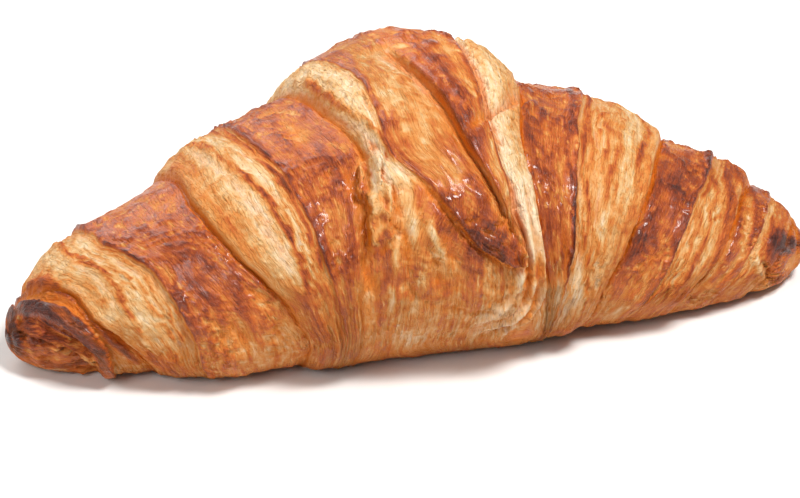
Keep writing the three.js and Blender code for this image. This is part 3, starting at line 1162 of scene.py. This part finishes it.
        # Painted glow: orange tint where the skin lies deep and on the low flanks, standing in for warm light in shade.
        folded = (1 - 0.8 * self.dull) * smoothstep(0.1, 0.9, deep) * (1 - 0.5 * low)
        self.glow = np.clip(self.glow * 0.6 + folded + 0.34 * low, 0, 1)
        self.gloss = np.clip((1 - self.riser) * smoothstep(0.42, 0.72, self.baked) + 0.6 * self.washed_tip, 0, 1)
        self.streak = 0.2 + 0.8 * np.clip(low + self.riser * 0.3, 0, 1)

    def points(self) -> Array:
        """Points of the finished skin, in millimetres."""
        return self.spindle.place(self.length, self.angle, self.dough + self.relief, self.shift)


# ---------------------------------------------------------------- meshes


def new_mesh(name: str, points: Array, faces: Array, attributes: dict[str, Array], uv: Array) -> bpy.types.Object:
    """Makes a mesh object at the origin.

    Args:
        name: Name of the piece.
        points: Vertices in metres.
        faces: Corner numbers, four to a face; a triangle repeats its last corner.
        attributes: One value or vector for each vertex, by name.
        uv: Flat place of each face corner, in the order of `faces`.

    Returns:
        The new object, linked to the scene.
    """
    tri = faces[:, 2] == faces[:, 3]
    loops = np.where(tri, 3, 4)
    keep = np.ones(faces.shape, bool)
    keep[tri, 3] = False
    mesh = bpy.data.meshes.new(name)
    mesh.vertices.add(len(points))
    mesh.vertices.foreach_set("co", points.astype(np.float32).ravel())
    mesh.loops.add(int(loops.sum()))
    mesh.loops.foreach_set("vertex_index", faces[keep].astype(np.int32))
    mesh.polygons.add(len(faces))
    mesh.polygons.foreach_set("loop_start", np.concatenate([[0], np.cumsum(loops)[:-1]]).astype(np.int32))
    mesh.polygons.foreach_set("use_smooth", np.ones(len(faces), bool))
    mesh.update(calc_edges=True)
    mesh.uv_layers.new(name="OFBake").data.foreach_set("uv", uv[keep].astype(np.float32).ravel())
    for key, values in attributes.items():
        vector = values.ndim == 2
        made = mesh.attributes.new(key, "FLOAT_VECTOR" if vector else "FLOAT", "POINT")
        made.data.foreach_set("vector" if vector else "value", values.astype(np.float32).ravel())
    mesh.validate()
    piece = bpy.data.objects.new(name, mesh)
    bpy.context.scene.collection.objects.link(piece)
    return piece


def closed_roll(skin: Skin, offset: Array) -> bpy.types.Object:
    """Joins the skin's rows into one closed mesh with a point at each tip.

    Args:
        skin: The finished skin.
        offset: Where the skin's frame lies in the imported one, in millimetres.

    Returns:
        The new object.
    """
    grid = skin.points()
    rows, columns = grid.shape[:2]

    def per_vertex(values: Array) -> Array:
        """One value for each vertex: the first tip's, the rows', the last tip's."""
        flat = values[1:-1].reshape((-1, *values.shape[2:]))
        return np.concatenate([values[:1, 0], flat, values[-1:, 0]])

    points = (per_vertex(grid) + offset) * MM
    ring = np.arange((rows - 2) * columns).reshape(rows - 2, columns) + 1
    after = np.roll(ring, -1, axis=1)
    quads = np.stack([ring[:-1], after[:-1], after[1:], ring[1:]], axis=-1).reshape(-1, 4)
    last = len(points) - 1
    left = np.stack([np.zeros(columns, int), after[0], ring[0], ring[0]], axis=-1)
    right = np.stack([np.full(columns, last), ring[-1], after[-1], after[-1]], axis=-1)

    steps = np.linalg.norm(np.diff(grid, axis=0), axis=-1).mean(axis=1)
    along = np.concatenate([[0.0], np.cumsum(steps)])
    closed = np.concatenate([grid, grid[:, :1]], axis=1)
    turns = np.linalg.norm(np.diff(closed, axis=1), axis=-1).mean(axis=0)
    round_it = np.concatenate([[0.0], np.cumsum(turns)])
    scale = 1.0 / max(along[-1], round_it[-1])
    u, v = along * scale, round_it * scale

    def flat(row: Array, column: Array) -> Array:
        """Place of a grid point in the flat map."""
        return np.stack([u[row], v[column]], axis=-1)

    row, column = np.meshgrid(np.arange(1, rows - 2), np.arange(columns), indexing="ij")
    row, column = row.ravel(), column.ravel()
    uv_quads = np.stack(
        [flat(row, column), flat(row, column + 1), flat(row + 1, column + 1), flat(row + 1, column)], axis=1
    )
    side = np.arange(columns)
    none, first, end = side * 0, side * 0 + 1, side * 0 + rows - 2
    uv_left = np.stack([flat(none, side), flat(first, side + 1), flat(first, side), flat(first, side)], axis=1)
    uv_right = np.stack([flat(end + 1, side), flat(end, side), flat(end, side + 1), flat(end, side + 1)], axis=1)

    lie = stacked(skin.lay, skin.arc, 0.0)
    attributes = {
        "bake": per_vertex(skin.baked),
        # painted orange glow, standing in for warm light in shade
        "glow": per_vertex(skin.glow),
        "gloss": per_vertex(skin.gloss),
        "crumb": per_vertex(skin.crumb),
        "streak": per_vertex(skin.streak),
        "lie": per_vertex(lie),
    }
    faces = np.concatenate([quads, left, right])
    return new_mesh("baked_crust", points, faces, attributes, np.concatenate([uv_quads, uv_left, uv_right]))


# ---------------------------------------------------------------- finishes


def linear(colour: str) -> tuple[float, float, float, float]:
    """Turns an sRGB hex colour into linear RGBA: c / 12.92 below 0.04045, ((c + 0.055) / 1.055)^2.4 above.

    Args:
        colour: Hash and six hex digits.

    Returns:
        Red, green, blue and an alpha of one.
    """
    parts = [int(colour[i : i + 2], 16) / 255.0 for i in (1, 3, 5)]
    red, green, blue = (c / 12.92 if c <= 0.04045 else ((c + 0.055) / 1.055) ** 2.4 for c in parts)
    return red, green, blue, 1.0


def add(tree: bpy.types.NodeTree, kind: str, inputs: dict[str | int, Any] | None = None, **settings: Any) -> Any:
    """Adds a node with its settings and links.

    Args:
        tree: Tree that gets the node.
        kind: Blender's name for the node's type.
        inputs: For each input, by name or number, a value or an output socket to link.
        **settings: The node's own properties.

    Returns:
        The new node.
    """
    node = tree.nodes.new(kind)
    for key, value in settings.items():
        setattr(node, key, value)
    for key, value in (inputs or {}).items():
        if isinstance(value, bpy.types.NodeSocket):
            tree.links.new(value, node.inputs[key])
        else:
            node.inputs[key].default_value = value
    return node


def per_metre(millimetres: float) -> float:
    """Scale of a pattern on Object coordinates whose features are that many millimetres apart."""
    return 1000.0 / millimetres


def weighed(tree: bpy.types.NodeTree, start: Any, terms: Terms, features: dict[str, Any]) -> Any:
    """Adds up features: start + weight x feature x feature + ... for each term.

    Args:
        tree: Tree that gets the nodes.
        start: Value or output socket that the sum starts from.
        terms: For each product, its weight and the names of its features.
        features: The features' output sockets, by name.

    Returns:
        The sum's output socket.
    """
    total = start
    for weight, names in terms:
        product = features[names[0]]
        for name in names[1:]:
            product = add(tree, "ShaderNodeMath", {0: product, 1: features[name]}, operation="MULTIPLY").outputs[0]
        total = add(tree, "ShaderNodeMath", {0: product, 1: weight, 2: total}, operation="MULTIPLY_ADD").outputs[0]
    return total


@dataclass(frozen=True)
class Pattern:
    """Noise in the dough, sharpened to run from one value to another.

    Attributes:
        across: Size of its features in millimetres, across the dough's fibres.
        along: Their length along the fibres, or None where they are as long as they are wide.
        detail: How many finer layers it has.
        low: Noise at and below which the pattern is `floor`.
        high: Noise at and above which it is `top`.
        floor: Least value.
        top: Greatest value.
    """

    across: float
    along: float | None
    detail: float
    low: float
    high: float
    floor: float = -0.5
    top: float = 0.5

    def lay(self, tree: bpy.types.NodeTree) -> Any:
        """Lays the pattern: on the object if it has no length along the fibres, otherwise on the dough's lie.

        Args:
            tree: Tree that gets the nodes.

        Returns:
            The pattern's output socket.
        """
        if self.along is None:
            place, scale, rough = add(tree, "ShaderNodeTexCoord").outputs["Object"], per_metre(self.across), 0.6
        else:
            lie = add(tree, "ShaderNodeAttribute", attribute_name="lie").outputs["Vector"]
            drawn = {"Vector": lie, "Scale": (1 / self.across, 1 / self.along, 1)}
            place, scale, rough = add(tree, "ShaderNodeMapping", drawn).outputs[0], 1.0, 0.55
        inputs = {"Vector": place, "Scale": scale, "Detail": self.detail, "Roughness": rough}
        noise = add(tree, "ShaderNodeTexNoise", inputs).outputs["Fac"]
        spread = {"Value": noise, "From Min": self.low, "From Max": self.high, "To Min": self.floor, "To Max": self.top}
        return add(tree, "ShaderNodeMapRange", spread).outputs[0]


@dataclass(frozen=True)
class EggWashedCrust:
    """Baked, egg-washed laminated dough.

    It gives the eye an orange to red-brown shell with a broken gloss, and cream crumb between the wraps.
    Crumb and crust have an IOR near 1.45; bare crumb is matt and the washed crust satin.
    """

    name: str = "egg_washed_crust"
    shades: tuple[tuple[float, str], ...] = (
        (0.00, "#E0CCAC"),
        (0.15, "#D6B68C"),
        (0.30, "#CD9E66"),
        (0.46, "#C27B38"),
        (0.62, "#AE551E"),
        (0.76, "#8A3A17"),
        (0.90, "#5E2716"),
        (1.00, "#3C1810"),
    )
    # Painted glow: the orange that stands in for warm light in the dough's hollows and shade, and its share.
    glow: str = "#C8680C"
    glowing: float = 0.75
    ior: float = 1.45
    matt: float = 0.62
    satin: float = 0.3
    shine: float = 0.3
    wash: float = 0.4
    wash_roughness: float = 0.15
    scatter: float = 0.12
    scatter_millimetres: tuple[float, float, float] = (1.6, 0.7, 0.3)

    # The grain of the dough, and the scratches where a sheet has flaked off, in patches.
    fibre: Pattern = Pattern(0.8, 12.0, 3.0, 0.34, 0.66)
    thread: Pattern = Pattern(0.32, 4.0, 2.0, 0.36, 0.64)
    cloud: Pattern = Pattern(4.0, None, 5.0, 0.32, 0.68)
    speck: Pattern = Pattern(0.9, None, 3.0, 0.3, 0.7)
    scratch: Pattern = Pattern(0.75, 3.6, 4.0, 0.59, 0.64, floor=0.0, top=1.0)
    patch: Pattern = Pattern(8.0, None, 2.0, 0.42, 0.6, floor=0.0, top=1.0)
    sheets: Pattern = Pattern(1.1, 6.5, 3.0, 0.0, 1.0, floor=0.0, top=8.0)
    pore_millimetres: float = 1.35

    # What each feature adds to the baking (0 raw, 1 burnt) and to the height in millimetres.
    flaking: Terms = ((0.5, ("scratch", "patch", "streak")), (0.6, ("scratch", "patch", "gloss")))
    baking: Terms = (
        (0.27, ("fibre", "streak")),
        (0.08, ("thread",)),
        (0.06, ("cloud",)),
        (0.05, ("speck",)),
        (0.3, ("lift",)),
        (-0.7, ("lift", "gloss")),
        (-0.34, ("flaked",)),
        # painted shade: crumb drawn darker where its pores dip, as the heights below sink them
        (0.12, ("pore", "pore", "crumb")),
    )
    heights: Terms = (
        (0.26, ("fibre", "streak")),
        (0.13, ("thread",)),
        (0.1, ("speck",)),
        (0.14, ("sheet",)),
        (0.16, ("flaked",)),
        (-0.42, ("pore", "pore", "crumb")),
    )

    def make(self) -> bpy.types.Material:
        """Builds the material.

        Returns:
            The new material.
        """
        material = bpy.data.materials.new(self.name)
        material.use_nodes = True
        tree = material.node_tree
        tree.nodes.clear()
        features = self.lay_features(tree)
        gloss = weighed(tree, 0.0, ((1.0, ("gloss", "broken")),), features)
        features["washed"] = gloss
        rough = add(tree, "ShaderNodeMapRange", {"Value": gloss, "To Min": self.matt, "To Max": self.satin})
        height = weighed(tree, 0.0, self.heights, features)
        bump = add(tree, "ShaderNodeBump", {"Height": height, "Strength": 1.0, "Distance": MM})
        skin = add(
            tree,
            "ShaderNodeBsdfPrincipled",
            {
                "Base Color": self.colour(tree, features),
                "Roughness": rough.outputs[0],
                "IOR": self.ior,
                "Specular IOR Level": self.shine,
                "Subsurface Weight": self.scatter,
                "Subsurface Radius": self.scatter_millimetres,
                "Subsurface Scale": MM,
                "Coat Weight": weighed(tree, 0.0, ((self.wash, ("washed",)),), features),
                "Coat Roughness": self.wash_roughness,
                "Normal": bump.outputs[0],
            },
        )
        add(tree, "ShaderNodeOutputMaterial", {"Surface": skin.outputs[0]})
        return material

    def lay_features(self, tree: bpy.types.NodeTree) -> dict[str, Any]:
        """Reads the skin's fields and lays the patterns.

        The sheets are terraces of their noise: `sheet` rises by one at each edge, over its last third, and
        `lift` is a line along the edge.

        Args:
            tree: Tree that gets the nodes.

        Returns:
            The output socket of each feature, by name.
        """
        found: dict[str, Any] = {}
        for key in ("bake", "glow", "gloss", "crumb", "streak"):
            found[key] = add(tree, "ShaderNodeAttribute", attribute_name=key).outputs["Fac"]
        for key in ("fibre", "thread", "cloud", "speck", "scratch", "patch", "sheets"):
            found[key] = getattr(self, key).lay(tree)
        place = add(tree, "ShaderNodeTexCoord").outputs["Object"]
        pores = {"Vector": place, "Scale": per_metre(self.pore_millimetres)}
        found["pore"] = add(tree, "ShaderNodeTexVoronoi", pores, feature="F1").outputs["Distance"]

        whole = add(tree, "ShaderNodeMath", {0: found["sheets"]}, operation="FLOOR").outputs[0]
        rest = add(tree, "ShaderNodeMath", {0: found["sheets"]}, operation="FRACT").outputs[0]
        rise = {"Value": rest, "From Min": 0.7, "From Max": 1.0}
        found["step"] = add(tree, "ShaderNodeMapRange", rise, interpolation_type="SMOOTHSTEP").outputs[0]
        found["sheet"] = weighed(tree, whole, ((1.0, ("step",)),), found)
        found["lift"] = weighed(tree, found["step"], ((-1.0, ("step", "step")),), found)
        found["flaked"] = weighed(tree, 0.0, self.flaking, found)
        clouded = {"Value": found["cloud"], "From Min": -0.3, "From Max": 0.3, "To Min": 0.4, "To Max": 1.0}
        found["broken"] = add(tree, "ShaderNodeMapRange", clouded).outputs[0]
        return found

    def colour(self, tree: bpy.types.NodeTree, features: dict[str, Any]) -> Any:
        """Turns the baking into a shade, with an orange glow where the dough lies deep.

        Args:
            tree: Tree that gets the nodes.
            features: The features' output sockets, by name.

        Returns:
            The colour's output socket.
        """
        ramp = add(tree, "ShaderNodeValToRGB", {"Fac": weighed(tree, features["bake"], self.baking, features)})
        stops = ramp.color_ramp.elements
        stops[0].position, stops[0].color = self.shades[0][0], linear(self.shades[0][1])
        stops[1].position, stops[1].color = self.shades[-1][0], linear(self.shades[-1][1])
        for position, shade in self.shades[1:-1]:
            stops.new(position).color = linear(shade)
        # Painted glow: mixes in the orange that stands in for warm light where the dough lies deep.
        deep = weighed(tree, 0.0, ((self.glowing, ("glow",)),), features)
        mixed = {0: deep, 6: ramp.outputs["Color"], 7: linear(self.glow)}
        return add(tree, "ShaderNodeMix", mixed, data_type="RGBA").outputs[2]


@dataclass(frozen=True)
class StudioPaper:
    """Matt white paper under the croissant: plain, pale and without any gloss."""

    name: str = "studio_paper"
    colour: str = "#E4E2DF"
    roughness: float = 0.9

    def make(self) -> bpy.types.Material:
        """Builds the material.

        Returns:
            The new material.
        """
        material = bpy.data.materials.new(self.name)
        material.use_nodes = True
        shader = material.node_tree.nodes["Principled BSDF"]
        shader.inputs["Base Color"].default_value = linear(self.colour)
        shader.inputs["Roughness"].default_value = self.roughness
        return material


# ---------------------------------------------------------------- the studio


@dataclass(frozen=True)
class Softbox:
    """A square soft light.

    Attributes:
        name: What it is called.
        azimuth: Where it stands round the object, in degrees; 0 is -Y.
        elevation: How high it stands, in degrees over the floor.
        distance: Metres from it to its target.
        size: Length of its side, in metres.
        watts: How strong it is.
    """

    name: str
    azimuth: float
    elevation: float
    distance: float
    size: float
    watts: float

    def hang(self, target: Vector) -> None:
        """Hangs the light so that it faces the target.

        Args:
            target: The point it faces.
        """
        lamp = bpy.data.lights.new(self.name, "AREA")
        lamp.shape = "SQUARE"
        lamp.size = self.size
        lamp.energy = self.watts
        holder = bpy.data.objects.new(self.name, lamp)
        bpy.context.scene.collection.objects.link(holder)
        towards = direction(self.azimuth, self.elevation)
        holder.location = target + towards * self.distance
        holder.rotation_euler = towards.to_track_quat("Z", "Y").to_euler()


def direction(azimuth: float, elevation: float) -> Vector:
    """Unit vector from the object towards a place at that azimuth (0 is -Y) and elevation, in degrees."""
    a, e = math.radians(azimuth), math.radians(elevation)
    return Vector((math.sin(a) * math.cos(e), -math.cos(a) * math.cos(e), math.sin(e)))


@dataclass(frozen=True)
class Studio:
    """Floor, lights and camera.

    Attributes:
        floor_size: Side of the square floor, in metres.
        azimuth: Where the camera stands round the object, in degrees; 0 is -Y.
        elevation: How high it stands, in degrees over the floor.
        distance: Metres from it to what it aims at.
        lens: Focal length, in millimetres.
        aim: Point that the camera aims at, in metres.
        aim_right: How far the aim is moved to the right in the picture, in metres.
        aim_up: How far it is moved up.
        lit: Point that the lights face, in metres.
        world: Colour of the light from all round.
        world_strength: Its strength.
        lights: The soft lights.
    """

    floor_size: float = 3.0
    azimuth: float = -13.0
    elevation: float = 30.0
    distance: float = 0.7
    lens: float = 160.0
    aim: tuple[float, float, float] = (-0.0035, -0.0104, 0.027)
    aim_right: float = -0.0006
    aim_up: float = -0.0067
    lit: tuple[float, float, float] = (0.0, 0.0, 0.03)
    world: str = "#FFFFFF"
    world_strength: float = 0.22
    lights: tuple[Softbox, ...] = (
        Softbox("key_softbox", 35.0, 62.0, 0.9, 0.24, 10.5),
        Softbox("back_softbox", 200.0, 38.0, 0.9, 0.8, 6.0),
        Softbox("fill_softbox", -50.0, 35.0, 1.0, 0.4, 3.5),
    )

    def build(self) -> None:
        """Lays the floor, hangs the lights and sets the camera."""
        half = self.floor_size / 2
        mesh = bpy.data.meshes.new("floor")
        mesh.from_pydata([(-half, -half, 0), (half, -half, 0), (half, half, 0), (-half, half, 0)], [], [(0, 1, 2, 3)])
        mesh.materials.append(StudioPaper().make())
        floor = bpy.data.objects.new("floor", mesh)
        bpy.context.scene.collection.objects.link(floor)

        world = bpy.data.worlds.new("studio")
        world.use_nodes = True
        background = world.node_tree.nodes["Background"]
        background.inputs["Color"].default_value = linear(self.world)
        background.inputs["Strength"].default_value = self.world_strength
        bpy.context.scene.world = world
        bpy.context.scene.view_settings.view_transform = "Standard"

        towards = direction(self.azimuth, self.elevation)
        right = Vector((0, 0, 1)).cross(towards).normalized()
        up = towards.cross(right)
        target = Vector(self.aim) + right * self.aim_right + up * self.aim_up
        for light in self.lights:
            light.hang(Vector(self.lit))
        camera = bpy.data.objects.new("camera", bpy.data.cameras.new("camera"))
        camera.data.lens = self.lens
        camera.location = target + towards * self.distance
        camera.rotation_euler = towards.to_track_quat("Z", "Y").to_euler()
        bpy.context.scene.collection.objects.link(camera)
        bpy.context.scene.camera = camera


def main() -> None:
    """Builds the croissant and its studio, piece by piece."""
    logging.basicConfig(level=logging.INFO, format="%(message)s")
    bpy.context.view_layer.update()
    low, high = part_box(NODE)

    crust = Crust()
    skin = crust.build()
    plain = crust.spindle.place(skin.length, skin.angle, skin.dough)
    offset = np.array([low.x / MM - crust.spindle.left_tip, high.y / MM - plain[..., 1].max(), 0.0])
    piece = closed_roll(skin, offset)
    piece.data.materials.append(EggWashedCrust().make())
    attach(piece, BODY)
    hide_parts(NODE)
    log.info("%s: %d faces, offset %s", piece.name, len(piece.data.polygons), offset.round(2))

    Studio().build()
    log.info("studio: floor, lights and camera")


if __name__ == "__main__":
    main()
